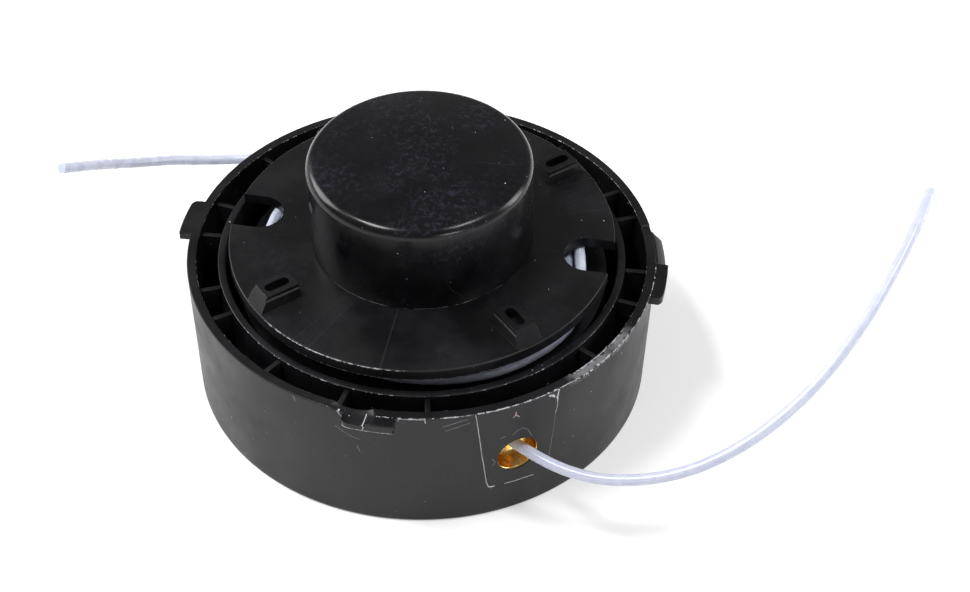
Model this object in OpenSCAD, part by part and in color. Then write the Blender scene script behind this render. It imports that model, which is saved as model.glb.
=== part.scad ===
// Bump-feed line trimmer head with its cover off: a double-walled drum, a sprung two-line spool
// with its bump knob, a brass eyelet each side, and a tail of nylon line out of each eyelet.
// The origin is the centre of the drum's underside, with +Z up towards the knob.

/* [Drum] */
// Outer radius of the drum at its rim
rim_r = 50; // [49.5:0.1:51]
// Outer radius of the drum at its underside
base_r = 49.25; // [48.8:0.05:49.5]
// Height of the drum
drum_h = 31.5; // [31:0.1:33]
// Thickness of the outer wall at the rim
wall_t = 2; // [1.6:0.1:2.4]
// Thickness of the floor
floor_t = 2.5; // [2:0.1:3]
// Outer radius of the inner ring wall
ring_r = 43.5; // [43.4:0.1:44]
// Thickness of the inner ring wall
ring_t = 1.6; // [1.2:0.1:1.6]
// How far the inner ring stops below the rim
ring_drop = 0.5; // [0.2:0.1:1]
// Thickness of the ribs between the two walls
rib_t = 1.1; // [0.8:0.1:1.6]
// How far the ribs stop below the rim
rib_drop = 1.2; // [0.8:0.1:2]

/* [Bayonet rim] */
// Reach of the cover lugs past the rim
lug_reach = 2.6; // [2:0.1:3]
// Thickness of the cover lugs
lug_t = 2; // [1.6:0.1:2.6]
// Width of each cover lug round the rim, in degrees
lug_arc = 12; // [10:0.5:14]

/* [Hub] */
// Outer radius of the hub that the spool slides on
hub_r = 10; // [9.6:0.1:10]
// Height of the top of the hub
hub_top = 34; // [32:0.5:36]
// Radius of the arbor's threaded hole
arbor_r = 3.4; // [3.3:0.1:4.2]
// Width across the flats of the arbor nut
nut_flats = 13; // [12:0.5:14]
// Height of the arbor nut
nut_h = 6.5; // [5:0.5:8]

/* [Line eyelets] */
// Direction of the front eyelet round the drum, in degrees
eyelet_dir = 295; // [290:1:300]
// Height of the eyelets above the underside
eyelet_z = 16.5; // [15:0.5:18]
// Outer radius of an eyelet's barrel
eyelet_r = 4.9; // [4.8:0.1:5.4]
// Radius of an eyelet's mouth
mouth_r = 4.3; // [4:0.1:4.4]
// Diameter of the nylon line
line_d = 2.4; // [2:0.1:2.4]

/* [Spool] */
// Radius of the top flange
flange_r = 41; // [40:0.1:41.2]
// Thickness of the top flange
flange_t = 2.5; // [2:0.1:3]
// How far the released spool stands above the rim
spool_rise = 4.5; // [4:0.1:5.5]
// How far the released spool leans over on its spring, in degrees
spool_lean = 1.3; // [0:0.1:1.5]
// Direction of the flange's high side round the drum, in degrees
lean_dir = 25; // [0:5:60]
// Height of each of the two line chambers
chamber_h = 7.2; // [6:0.2:7.6]
// Outer radius of the spool's core
core_r = 22; // [21:0.5:24]
// Radius that the wound line reaches
wound_r = 34.6; // [30:0.2:34.8]

/* [Ratchet bosses and notches] */
// Direction of the first boss round the spool, in degrees
boss_dir = 34.5; // [30:0.5:40]
// Height of the bosses above the flange
boss_h = 3.5; // [2.5:0.1:4]
// Width of the bosses at their top
boss_w = 4.7; // [4:0.1:6]
// Width of the two open notches in the flange
notch_w = 10; // [8:0.5:11]
// Radius from the spool's axis at which the notches end
notch_r = 30.6; // [29:0.2:32]

/* [Bump knob] */
// Outer radius of the knob
knob_r = 23.5; // [23:0.1:24.5]
// Height of the knob from the flange to the top of its dome
knob_h = 23; // [20:0.5:26]
// Radius of the knob's shoulder
shoulder_r = 2.2; // [1.5:0.1:4]
// Rise of the dome inside the shoulder
dome_h = 2.1; // [1:0.1:4]
// Thickness of the knob's skin
knob_t = 2.4; // [1.8:0.1:2.4]

/* [Spring] */
// Radius of the spring at the middle of its wire
spring_r = 13; // [12.8:0.1:13.4]
// Diameter of the spring wire
wire_d = 1.5; // [1.2:0.1:1.6]
// Number of coils, with a closed one at each end
coils = 6.5; // [5.5:0.5:7]

/* [Hidden] */
$fn = 96;
eps = 0.05;

drum_black = "#26262a";
spool_black = "#2b2b2f";
knob_black = "#17171a";
brass_gold = "#c9963c";
steel_grey = "#9a9da2";
nylon_white = "#e8ebf2";

// Places round the rim: the cover lugs, and the ribs of one half, which the other half repeats
lug_dirs = [80, 170, 260, 350];
rib_dirs = [16, 27, 50.5, 72, 93.5, 140, 162, 174.5];

// Heights of the spool's flanges with the spool released
flange_top = drum_h + spool_rise;
flange_low = flange_top - flange_t;
mid_t = 1.5;
mid_top = flange_low - chamber_h;
mid_low = mid_top - mid_t;
low_t = 2;
low_top = mid_low - chamber_h;
low_low = low_top - low_t;
mid_r = flange_r - 1.5;
core_in = core_r - 2.2;

// The sleeve that guides the spool on the hub, and the washer that it turns on
sleeve_in = hub_r + 0.6;
sleeve_t = 2;
sleeve_low = 24;
washer_t = 1.2;
washer_in = hub_r + 0.8;
washer_out = 15.4;
washer_top = sleeve_low - 0.05;
spring_low = floor_t;
spring_top = washer_top - washer_t - 0.4;
spigot_h = 5;
spigot_r = knob_r - knob_t;

// The ratchet: teeth under the bottom flange, and stops on the drum's floor half a pitch round
tooth_h = 3.5;
tooth_w = 7;
tooth_in = 30;
tooth_out = 36;
stop_h = 3.5;

// Radius of the drum's drafted outer face at a height
function face_r(z) = base_r + (rim_r - base_r) * z / drum_h;

eyelet_out = face_r(eyelet_z) - 0.3;
eyelet_in = ring_r - ring_t + 0.1;
cup_depth = 4.6;

// Routes of the two tails' centre lines, from each eyelet's inner end to the cut end
front_route = [
    [17.8, -38.1, 16.5], [18.8, -40.1, 16.5], [20.3, -41.9, 16.5], [22.3, -43.6, 16.5],
    [25, -45.6, 16.4], [28.3, -47.8, 16.4], [32.2, -49.9, 16.6], [37, -51.8, 17.2],
    [42.5, -53.1, 18.3],
    [48.5, -53.8, 20], [54.5, -53.7, 22.2], [60, -52.8, 24.7], [65.5, -51.1, 27.6],
    [70.5, -48.8, 30.5], [75.5, -45.8, 33.8], [80.5, -41.8, 37.3], [85.5, -36.8, 41.2],
    [90, -31.2, 44.9], [94, -25.3, 48.4], [98, -18.6, 51.9], [101, -12.9, 54.6],
    [103.6, -7.4, 56.8]];
rear_route = [
    [-17.8, 38.1, 16.5], [-18.8, 40.1, 16.5], [-20.3, 41.9, 16.5], [-22.3, 43.7, 16.3],
    [-25, 45.7, 15.9], [-28.5, 47.7, 15.2], [-33, 49.8, 14.2], [-38.5, 51.5, 13],
    [-44, 52.2, 12.2],
    [-49.5, 51.9, 12.1], [-55, 50.1, 13.3], [-60, 46.8, 15.9], [-64.5, 42.7, 18.7],
    [-68.5, 38.3, 21.8], [-72, 33.8, 25.1], [-75.3, 29, 28.6], [-78.3, 24.7, 31.5],
    [-80.6, 21.6, 33.6]];

// Vector helpers for sweeping a round section along a route
function unit(v) = v / norm(v);
function heading(route, i) =
    unit(route[min(i + 1, len(route) - 1)] - route[max(i - 1, 0)]);
function side_of(t) = unit(cross([0, 0, 1], t));

// A round bar along a route, as one closed polyhedron with a ring of points at each route point
module swept_bar(route, r, sides) {
    ring_count = len(route);
    points = [
        for (i = [0:ring_count - 1])
            let (t = heading(route, i), u = side_of(t), v = cross(t, u))
                for (k = [0:sides - 1])
                    route[i] + r * (cos(360 * k / sides) * u + sin(360 * k / sides) * v)];
    walls = [
        for (i = [0:ring_count - 2])
            for (k = [0:sides - 1])
                let (n = (k + 1) % sides)
                    [i * sides + k, (i + 1) * sides + k, (i + 1) * sides + n, i * sides + n]];
    start = [[for (k = [0:sides - 1]) k]];
    end = [[for (k = [sides - 1:-1:0]) (ring_count - 1) * sides + k]];
    polyhedron(points, concat(start, walls, end), convexity = 8);
}

// Copies of the children at each of the given directions round the Z axis
module around(dirs) {
    for (dir = dirs)
        rotate([0, 0, dir])
            children();
}

// The frame of the released spool, which leans over about the middle of its top flange
module on_spool() {
    translate([0, 0, flange_top])
        rotate([0, 0, lean_dir])
            rotate([0, -spool_lean, 0])
                rotate([0, 0, -lean_dir])
                    translate([0, 0, -flange_top])
                        children();
}

// A block that follows the rim between two radii and two heights, over an arc centred on a direction
module rim_block(r_in, r_out, z_low, z_top, dir, arc) {
    rotate_extrude(angle = arc, start = dir - arc / 2)
        translate([r_in, z_low])
            square([r_out - r_in, z_top - z_low]);
}

// The drum's outer wall and floor, with its draft and its small lower edge
module drum_cup() {
    edge = 0.8;
    rotate_extrude($fn = 180)
        polygon([
            [0, 0], [face_r(0) - edge, 0], [face_r(edge), edge], [rim_r, drum_h],
            [rim_r - wall_t, drum_h], [base_r - wall_t - 0.4, floor_t], [0, floor_t]]);
}

// The inner ring wall round the spool
module inner_ring() {
    rotate_extrude($fn = 180)
        polygon([
            [ring_r - ring_t, floor_t - eps], [ring_r + 0.2, floor_t - eps],
            [ring_r, drum_h - ring_drop], [ring_r - ring_t, drum_h - ring_drop]]);
}

// Thin ribs that tie the inner ring to the outer wall
module wall_ribs() {
    span = rim_r - wall_t - ring_r + 0.9;
    for (half = [0, 180])
        around([for (dir = rib_dirs) dir + half])
            translate([ring_r - 0.4, -rib_t / 2, floor_t - eps])
                cube([span, rib_t, drum_h - rib_drop - floor_t]);
}

// One cover lug with its leading corner rounded off, pointing along +X
module cover_lug() {
    corner = 1.6;
    half_w = rim_r * sin(lug_arc / 2);
    root_r = rim_r - 1.2;
    reach_r = rim_r + lug_reach;
    translate([0, 0, drum_h - lug_t])
        linear_extrude(lug_t)
            intersection() {
                circle(reach_r, $fn = 180);
                union() {
                    translate([root_r, corner - half_w])
                        square([reach_r - root_r, 2 * half_w - corner]);
                    translate([root_r, -half_w])
                        square([reach_r - root_r - corner - 0.25, 2 * half_w]);
                    translate([reach_r - corner - 0.25, corner - half_w])
                        circle(corner, $fn = 32);
                }
            }
}

// The snap ramp beside the right-hand lug, sloping down and out from the rim
module snap_ramp() {
    arc = 12.5;
    rotate_extrude(angle = arc, start = lug_dirs[3] + lug_arc / 2)
        polygon([
            [rim_r - 1, drum_h - 3.2], [rim_r + 1.6, drum_h - 3.2], [rim_r + 2.3, drum_h - 2.4],
            [rim_r, drum_h - 0.3], [rim_r - 1, drum_h - 0.3]]);
}

// The arched block that carries an eyelet across the gap between the two walls, along +X
module eyelet_block() {
    half_w = eyelet_r + 1.9;
    reach_in = ring_r - 0.9;
    reach_out = rim_r - wall_t + 0.6;
    translate([reach_in, -half_w, floor_t - eps])
        cube([reach_out - reach_in, 2 * half_w, eyelet_z - floor_t]);
    translate([reach_in, 0, eyelet_z])
        rotate([0, 90, 0])
            cylinder(r = half_w, h = reach_out - reach_in);
}

// The hub, a plain tower with a chamfered top
module hub_tower() {
    chamfer = 1;
    rotate_extrude()
        polygon([[0, 0], [hub_r, 0], [hub_r, hub_top - chamfer], [hub_r - chamfer, hub_top], [0, hub_top]]);
}

// A saw tooth with one upright face and one ramp, lying along +X
module ratchet_tooth(height) {
    translate([tooth_in, 0, 0])
        rotate([90, 0, 90])
            linear_extrude(tooth_out - tooth_in)
                polygon([[0, 0], [tooth_w, 0], [2.5, height], [0, height]]);
}

// Hexagonal pocket or nut blank, standing on the underside
module hexagon(height) {
    cylinder(r = nut_flats / 2 / cos(30), h = height, $fn = 6);
}

// Damage along the rim: the shell-shaped chip in the front lug, and the three worn-down stretches
module rim_damage() {
    chip_r = 10;
    chip_depth = 1.2;
    rotate([0, 0, 255.8])
        translate([50.4, 0, drum_h + chip_r - chip_depth])
            sphere(chip_r, $fn = 96);
    rim_block(rim_r - wall_t - 1, rim_r + 0.4, drum_h - 0.4, drum_h + 1, 3.6, 14);
    rim_block(rim_r - wall_t - 1, rim_r + 0.4, drum_h - 0.35, drum_h + 1, 316.6, 12.4);
    rim_block(rim_r - wall_t - 1, rim_r + 0.4, drum_h - 0.35, drum_h + 1, 327.4, 7);
}

// The drum: one moulding of outer wall, inner ring, ribs, floor, hub, lugs and ratchet stops
module drum() {
    color(drum_black)
        difference() {
            union() {
                drum_cup();
                inner_ring();
                wall_ribs();
                hub_tower();
                around(lug_dirs)
                    cover_lug();
                snap_ramp();
                around([eyelet_dir, eyelet_dir - 180])
                    eyelet_block();
                around([for (k = [0:3]) boss_dir + 45 + 90 * k])
                    translate([0, 0, floor_t - eps])
                        ratchet_tooth(stop_h);
            }
            around([eyelet_dir, eyelet_dir - 180])
                translate([ring_r - ring_t - 2, 0, eyelet_z])
                    rotate([0, 90, 0])
                        cylinder(r = eyelet_r, h = 12);
            translate([0, 0, -1])
                hexagon(nut_h + 1);
            cylinder(r = arbor_r + 1, h = hub_top - 5);
            rim_damage();
        }
}

// The steel nut that takes the trimmer's arbor, pressed into the hub from below
module arbor_nut() {
    color(steel_grey)
        difference() {
            intersection() {
                hexagon(nut_h);
                rotate_extrude()
                    polygon([
                        [0, 0], [nut_flats / 2 + 0.2, 0], [nut_flats / 2 + 1.1, 0.6],
                        [nut_flats / 2 + 1.1, nut_h], [0, nut_h]]);
            }
            translate([0, 0, -1])
                cylinder(r = arbor_r, h = nut_h + 2);
        }
}

// A turned brass eyelet along +X: a deep cup with a rounded lip, and the hole for the line behind it
module eyelet() {
    length = eyelet_out - eyelet_in;
    lip = 0.5;
    bore_r = line_d / 2;
    color(brass_gold)
        translate([eyelet_in, 0, eyelet_z])
            rotate([0, 90, 0])
                rotate_extrude()
                    polygon(concat(
                        [[bore_r, 0], [eyelet_r, 0], [eyelet_r, length - 0.2], [eyelet_r - 0.1, length]],
                        [for (a = [0:15:90]) [mouth_r + lip - lip * sin(a), length - lip + lip * cos(a)]],
                        [for (a = [0:15:75])
                            [mouth_r - 1.6 + 1.3 * cos(a), length - cup_depth + 0.2 - 1.3 * sin(a)]],
                        [[bore_r, length - cup_depth - 1.4]]));
}

// The compression spring between the drum's floor and the thrust washer, its end coils closed
module return_spring() {
    steps = 24;
    total = coils * steps;
    rise = spring_top - spring_low - wire_d;
    closed = steps;
    // Share of the rise at a step: each closed end coil climbs by about one wire
    end_share = wire_d / rise;
    function share(i) =
        i < closed ? end_share * i / closed
        : i > total - closed ? 1 - end_share * (total - i) / closed
        : end_share + (1 - 2 * end_share) * (i - closed) / (total - 2 * closed);
    route = [
        for (i = [0:total])
            [spring_r * cos(360 * i / steps), spring_r * sin(360 * i / steps),
             spring_low + wire_d / 2 + rise * share(i)]];
    color(steel_grey)
        swept_bar(route, wire_d / 2, 8);
}

// The steel washer that the spool turns on, leaning with it
module thrust_washer() {
    color(steel_grey)
        on_spool()
            translate([0, 0, washer_top - washer_t])
                difference() {
                    cylinder(r = washer_out, h = washer_t);
                    translate([0, 0, -1])
                        cylinder(r = washer_in, h = washer_t + 2);
                }
}

// The spool's turned section: core, three flanges, web, guide sleeve and the knob's spigot
module spool_section() {
    edge = 0.4;
    rotate_extrude($fn = 180)
        polygon([
            [core_in, low_low], [mid_r, low_low], [mid_r, low_top], [core_r, low_top],
            [core_r, mid_low], [mid_r, mid_low], [mid_r, mid_top], [core_r, mid_top],
            [core_r, flange_low], [flange_r, flange_low], [flange_r, flange_top - edge],
            [flange_r - 0.12, flange_top - 0.12], [flange_r - edge, flange_top],
            [spigot_r, flange_top], [spigot_r, flange_top + spigot_h],
            [spigot_r - 2, flange_top + spigot_h], [spigot_r - 2, flange_top],
            [sleeve_in, flange_top], [sleeve_in, sleeve_low], [sleeve_in + sleeve_t, sleeve_low],
            [sleeve_in + sleeve_t, flange_low], [core_in, flange_low]]);
}

// One ratchet boss on the flange, along +X: a wedge with stepped sides and a blind slot in its top
module flange_boss() {
    in_r = 31.2;
    out_r = 38.6;
    foot_r = flange_r - 0.5;
    half_top = boss_w / 2;
    step_z = boss_h - 1;
    difference() {
        intersection() {
            translate([0, 4, 0])
                rotate([90, 0, 0])
                    linear_extrude(8)
                        polygon([[in_r - 0.1, 0], [in_r, boss_h], [out_r, boss_h], [foot_r, 0]]);
            translate([in_r - 1, 0, 0])
                rotate([90, 0, 90])
                    linear_extrude(foot_r - in_r + 2)
                        polygon([
                            [-half_top - 0.6, 0], [half_top + 0.6, 0], [half_top + 0.35, step_z],
                            [half_top, step_z + 0.15], [half_top, boss_h], [-half_top, boss_h],
                            [-half_top, step_z + 0.15], [-half_top - 0.35, step_z]]);
        }
        translate([0, 0, boss_h - 2.6]) {
            translate([33.3, -1.1, 0])
                cube([3.3, 2.2, 5]);
            translate([33.3, 0, 0])
                cylinder(r = 1.1, h = 5, $fn = 32);
            translate([36.6, 0, 0])
                cylinder(r = 1.1, h = 5, $fn = 32);
        }
    }
}

// An open notch in the top flange, along +X, with a half-round inner end
module flange_notch() {
    centre_r = notch_r + notch_w / 2;
    translate([0, 0, flange_low - 0.01]) {
        translate([centre_r, -notch_w / 2, 0])
            cube([flange_r, notch_w, flange_t + 1]);
        translate([centre_r, 0, 0])
            cylinder(r = notch_w / 2, h = flange_t + 1);
    }
}

// The two-chamber spool: one moulding with four ratchet bosses above and four teeth below
module spool() {
    color(spool_black)
        on_spool()
            difference() {
                union() {
                    spool_section();
                    around([for (k = [0:3]) boss_dir + 90 * k])
                        translate([0, 0, flange_top - eps])
                            flange_boss();
                    around([for (k = [0:3]) boss_dir + 90 * k])
                        translate([0, 0, low_low + eps])
                            rotate([180, 0, 0])
                                ratchet_tooth(tooth_h);
                }
                around([boss_dir + 135, boss_dir - 45])
                    flange_notch();
            }
}

// The bump knob, a domed cap pressed over the spool's spigot
module bump_knob() {
    crown_r = knob_r - shoulder_r;
    crown_z = knob_h - dome_h;
    inner_r = knob_r - knob_t;
    color(knob_black)
        on_spool()
            translate([0, 0, flange_top])
                rotate_extrude($fn = 180)
                    polygon(concat(
                        [[inner_r, 0], [knob_r - 0.2, 0], [knob_r, 0.2]],
                        [for (a = [0:10:80])
                            [crown_r + shoulder_r * cos(a), crown_z - shoulder_r * (1 - sin(a))]],
                        [for (s = [1:-0.125:0])
                            [crown_r * s, crown_z + dome_h * (1 - s * s)]],
                        [[0, knob_h - knob_t], [inner_r - 3, crown_z - knob_t + 0.6],
                         [inner_r, crown_z - knob_t - 2.4]]));
}

// Line wound on the core between two flanges: one ring whose outside shows the turns that lie on it
module winding(z_low) {
    gap = 0.1;
    rows = 3;
    pitch = (chamber_h - 2 * gap) / rows;
    turn_r = pitch / 2;
    color(nylon_white)
        on_spool()
            rotate_extrude() {
                translate([core_r, z_low + gap])
                    square([wound_r - turn_r - core_r, chamber_h - 2 * gap]);
                for (row = [0:rows - 1])
                    translate([wound_r - turn_r, z_low + gap + pitch * (row + 0.5)])
                        circle(turn_r, $fn = 24);
            }
}

module upper_winding() {
    winding(mid_top);
}

module lower_winding() {
    winding(low_top);
}

module front_eyelet() {
    rotate([0, 0, eyelet_dir])
        eyelet();
}

module rear_eyelet() {
    rotate([0, 0, eyelet_dir - 180])
        eyelet();
}

// The tails of nylon line that stand out of the eyelets
module front_tail() {
    color(nylon_white)
        swept_bar(front_route, line_d / 2, 8);
}

module rear_tail() {
    color(nylon_white)
        swept_bar(rear_route, line_d / 2, 8);
}

drum();
arbor_nut();
front_eyelet();
rear_eyelet();
return_spring();
thrust_washer();
spool();
bump_knob();
upper_winding();
lower_winding();
front_tail();
rear_tail();
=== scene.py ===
"""Looks of a bump-feed trimmer head with its cover off, standing on its drum on a pale floor.

The solids, their places and the joints come from the frame. This file gives each of them the
finish of the real thing: glass-filled nylon with its wear, turned brass, nylon line and steel.
Sizes are millimetres, worked from the same driving dimensions as the solids.
"""
import logging
import math
from dataclasses import dataclass
from enum import Enum
from typing import Sequence

import bpy
from mathutils import Matrix, Vector, noise


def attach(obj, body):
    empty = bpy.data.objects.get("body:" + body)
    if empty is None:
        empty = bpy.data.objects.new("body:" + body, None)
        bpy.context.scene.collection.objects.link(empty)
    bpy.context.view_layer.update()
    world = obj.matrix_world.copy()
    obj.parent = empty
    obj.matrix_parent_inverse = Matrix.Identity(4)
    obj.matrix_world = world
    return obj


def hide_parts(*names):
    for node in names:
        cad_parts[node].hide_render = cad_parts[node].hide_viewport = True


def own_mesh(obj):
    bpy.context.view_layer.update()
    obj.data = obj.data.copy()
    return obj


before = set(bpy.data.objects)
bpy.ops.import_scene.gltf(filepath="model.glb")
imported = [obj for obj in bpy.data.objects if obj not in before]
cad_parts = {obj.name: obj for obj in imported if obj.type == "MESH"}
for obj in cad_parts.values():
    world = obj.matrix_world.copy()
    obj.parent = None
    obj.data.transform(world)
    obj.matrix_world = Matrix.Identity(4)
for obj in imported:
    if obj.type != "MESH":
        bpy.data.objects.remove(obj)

logging.basicConfig(level=logging.INFO, format="%(message)s")
log = logging.getLogger("trimmer_head")

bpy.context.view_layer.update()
MM = 0.001
Profile = Sequence[tuple[float, float]]
Route = Sequence[tuple[float, float, float]]


def paint(code: str) -> tuple[float, float, float, float]:
    """Turns an sRGB hex colour such as "#1b1b1e" into linear RGBA.

    Args:
        code: the colour, as six hex digits after a hash.

    Returns:
        Linear red, green, blue and an alpha of 1.
    """
    channels = [int(code[i:i + 2], 16) / 255 for i in (1, 3, 5)]
    linear = [c / 12.92 if c <= 0.04045 else ((c + 0.055) / 1.055) ** 2.4 for c in channels]
    return (*linear, 1.0)


def between(value: float, stops: Sequence[tuple[float, float]]) -> float:
    """Reads a piecewise straight curve.

    Args:
        value: where to read it.
        stops: (position, height) pairs in rising order.

    Returns:
        The height at the value, held level past both ends.
    """
    if value <= stops[0][0]:
        return stops[0][1]
    for (x0, y0), (x1, y1) in zip(stops, stops[1:]):
        if value <= x1:
            return y0 + (y1 - y0) * (value - x0) / (x1 - x0)
    return stops[-1][1]


def arc(centre: tuple[float, float], radius: float, start: float, end: float, steps: int) -> list:
    """Points of a circular arc in a profile, from one angle in degrees to another."""
    angles = [math.radians(start + (end - start) * i / steps) for i in range(steps + 1)]
    return [(centre[0] + radius * math.cos(a), centre[1] + radius * math.sin(a)) for a in angles]


class Bench:
    """The modelling bench: operators for shaping pieces, with every size in millimetres."""

    @staticmethod
    def pick(piece: bpy.types.Object) -> None:
        """Makes one piece the only selected and the active one."""
        bpy.ops.object.select_all(action="DESELECT")
        piece.select_set(True)
        bpy.context.view_layer.objects.active = piece

    @classmethod
    def open_all(cls, piece: bpy.types.Object) -> None:
        """Opens a piece in edit mode with its whole mesh selected."""
        cls.pick(piece)
        bpy.ops.object.mode_set(mode="EDIT")
        bpy.ops.mesh.select_all(action="SELECT")

    @staticmethod
    def close() -> None:
        """Goes back to object mode."""
        bpy.ops.object.mode_set(mode="OBJECT")

    @classmethod
    def place(cls, piece: bpy.types.Object, matrix: Matrix) -> bpy.types.Object:
        """Moves a piece's mesh by a matrix and leaves the object at the origin, unturned.

        Args:
            piece: the piece to place.
            matrix: where it goes, applied after the object's own transform.

        Returns:
            The same piece.
        """
        piece.data.transform(matrix @ piece.matrix_basis)
        piece.matrix_basis = Matrix.Identity(4)
        piece.data.update()
        return piece

    @classmethod
    def turned(cls, name: str, profile: Profile, steps: int = 192, closed: bool = True) -> bpy.types.Object:
        """Draws a profile by extruding one vertex from point to point, and spins it round Z.

        Args:
            name: the piece's name.
            profile: (radius, height) pairs in order.
            steps: how many faces go round.
            closed: whether the last point joins the first.

        Returns:
            The turned piece.
        """
        bpy.ops.object.select_all(action="DESELECT")
        bpy.ops.mesh.primitive_plane_add(size=MM)
        piece = bpy.context.object
        piece.name = name
        bpy.ops.object.mode_set(mode="EDIT")
        bpy.ops.mesh.merge(type="CENTER")
        bpy.ops.transform.translate(value=(profile[0][0] * MM, 0, profile[0][1] * MM))
        stops = list(profile) + ([profile[0]] if closed else [])
        for (r0, z0), (r1, z1) in zip(stops, stops[1:]):
            step = ((r1 - r0) * MM, 0, (z1 - z0) * MM)
            bpy.ops.mesh.extrude_region_move(TRANSFORM_OT_translate={"value": step})
        bpy.ops.mesh.select_all(action="SELECT")
        bpy.ops.mesh.remove_doubles(threshold=1e-7)
        bpy.ops.mesh.spin(steps=steps, angle=math.tau, center=(0, 0, 0), axis=(0, 0, 1))
        bpy.ops.mesh.select_all(action="SELECT")
        bpy.ops.mesh.remove_doubles(threshold=1e-6)
        bpy.ops.mesh.dissolve_degenerate(threshold=1e-7)
        bpy.ops.mesh.normals_make_consistent(inside=False)
        cls.close()
        return piece

    @classmethod
    def block(cls, name: str, low: Sequence[float], high: Sequence[float]) -> bpy.types.Object:
        """Makes a block between two corners."""
        centre = [(a + b) / 2 * MM for a, b in zip(low, high)]
        size = [(b - a) * MM for a, b in zip(low, high)]
        bpy.ops.object.select_all(action="DESELECT")
        bpy.ops.mesh.primitive_cube_add(size=1, location=centre, scale=size)
        piece = bpy.context.object
        piece.name = name
        return cls.place(piece, Matrix.Identity(4))

    @classmethod
    def rod(cls, name: str, radius: float, low: float, high: float, sides: int = 64) -> bpy.types.Object:
        """Makes an upright round or many-sided bar between two heights."""
        bpy.ops.object.select_all(action="DESELECT")
        bpy.ops.mesh.primitive_cylinder_add(
            vertices=sides, radius=radius * MM, depth=(high - low) * MM,
            location=(0, 0, (low + high) / 2 * MM))
        piece = bpy.context.object
        piece.name = name
        return cls.place(piece, Matrix.Identity(4))

    @classmethod
    def modify(cls, piece: bpy.types.Object, kind: str, **settings: object) -> None:
        """Adds one modifier with its settings and applies it."""
        cls.pick(piece)
        modifier = piece.modifiers.new(kind.title(), kind)
        for key, value in settings.items():
            setattr(modifier, key, value)
        bpy.ops.object.modifier_apply(modifier=modifier.name)

    @classmethod
    def soften(cls, piece: bpy.types.Object, width: float, segments: int = 2, angle: float = 38) -> None:
        """Rounds a piece's sharp edges."""
        cls.modify(piece, "BEVEL", width=width * MM, segments=segments, limit_method="ANGLE",
                   angle_limit=math.radians(angle), use_clamp_overlap=True)

    @classmethod
    def flatten_shading(cls, piece: bpy.types.Object) -> None:
        """Lets the large flat faces rule the normals, so that only the rounded edges shade softly."""
        cls.modify(piece, "WEIGHTED_NORMAL", mode="FACE_AREA_WITH_ANGLE", weight=60, keep_sharp=True)

    @classmethod
    def combine(cls, piece: bpy.types.Object, tool: bpy.types.Object, operation: str) -> None:
        """Cuts a tool out of a piece, or fuses it in, and removes the tool."""
        cls.modify(piece, "BOOLEAN", object=tool, operation=operation, solver="EXACT")
        bpy.data.objects.remove(tool)

    @classmethod
    def joined(cls, name: str, parts: Sequence[bpy.types.Object]) -> bpy.types.Object:
        """Joins parts into one piece under a name."""
        cls.pick(parts[0])
        for part in parts[1:]:
            part.select_set(True)
        bpy.ops.object.join()
        parts[0].name = name
        return parts[0]

    @classmethod
    def solid(cls, node: str, name: str) -> bpy.types.Object:
        """Copies a solid of the frame, merged, with its flat faces made whole.

        Args:
            node: the solid's name.
            name: the copy's name.

        Returns:
            The copy, which rides on nothing yet.
        """
        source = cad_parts[node]
        piece = bpy.data.objects.new(name, source.data.copy())
        bpy.context.scene.collection.objects.link(piece)
        cls.open_all(piece)
        bpy.ops.mesh.remove_doubles(threshold=2e-6)
        bpy.ops.mesh.customdata_custom_splitnormals_clear()
        bpy.ops.mesh.dissolve_limited(angle_limit=math.radians(0.1))
        cls.close()
        return piece

    @classmethod
    def smooth(cls, piece: bpy.types.Object, angle: float = 32) -> None:
        """Shades a piece smooth, apart from edges sharper than an angle in degrees."""
        cls.pick(piece)
        bpy.ops.object.shade_smooth_by_angle(angle=math.radians(angle))

    @classmethod
    def strand(cls, name: str, route: Route, radius: float, sides: int = 12,
               smooth: int = 6) -> bpy.types.Object:
        """Sweeps a round bar along a smooth curve through a route, as a mesh with closed ends.

        Args:
            name: the piece's name.
            route: points along the middle, in millimetres.
            radius: the bar's radius.
            sides: faces round the bar.
            smooth: rings between two neighbouring points.

        Returns:
            The bar.
        """
        curve = bpy.data.curves.new(name, "CURVE")
        curve.dimensions = "3D"
        curve.resolution_u = smooth
        curve.bevel_depth = radius * MM
        curve.bevel_resolution = sides // 4 - 1 if sides >= 8 else 1
        curve.use_fill_caps = True
        spline = curve.splines.new("BEZIER")
        spline.bezier_points.add(len(route) - 1)
        for point, spot in zip(spline.bezier_points, route):
            point.co = Vector(spot) * MM
            point.handle_left_type = point.handle_right_type = "AUTO"
        piece = bpy.data.objects.new(name, curve)
        bpy.context.scene.collection.objects.link(piece)
        cls.pick(piece)
        bpy.ops.object.convert(target="MESH")
        piece = bpy.context.object
        cls.open_all(piece)
        bpy.ops.mesh.remove_doubles(threshold=1e-7)
        bpy.ops.mesh.normals_make_consistent(inside=False)
        cls.close()
        return piece

    @classmethod
    def lathe_marks(cls, piece: bpy.types.Object, base: Vector, axis: Vector) -> None:
        """Writes each vertex's radius and height on a turning axis to the "lathe" attribute."""
        values = piece.data.attributes.new("lathe", "FLOAT_VECTOR", "POINT")
        for vertex in piece.data.vertices:
            offset = vertex.co / MM - base
            height = offset.dot(axis)
            values.data[vertex.index].vector = ((offset - axis * height).length, height, 0)

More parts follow.
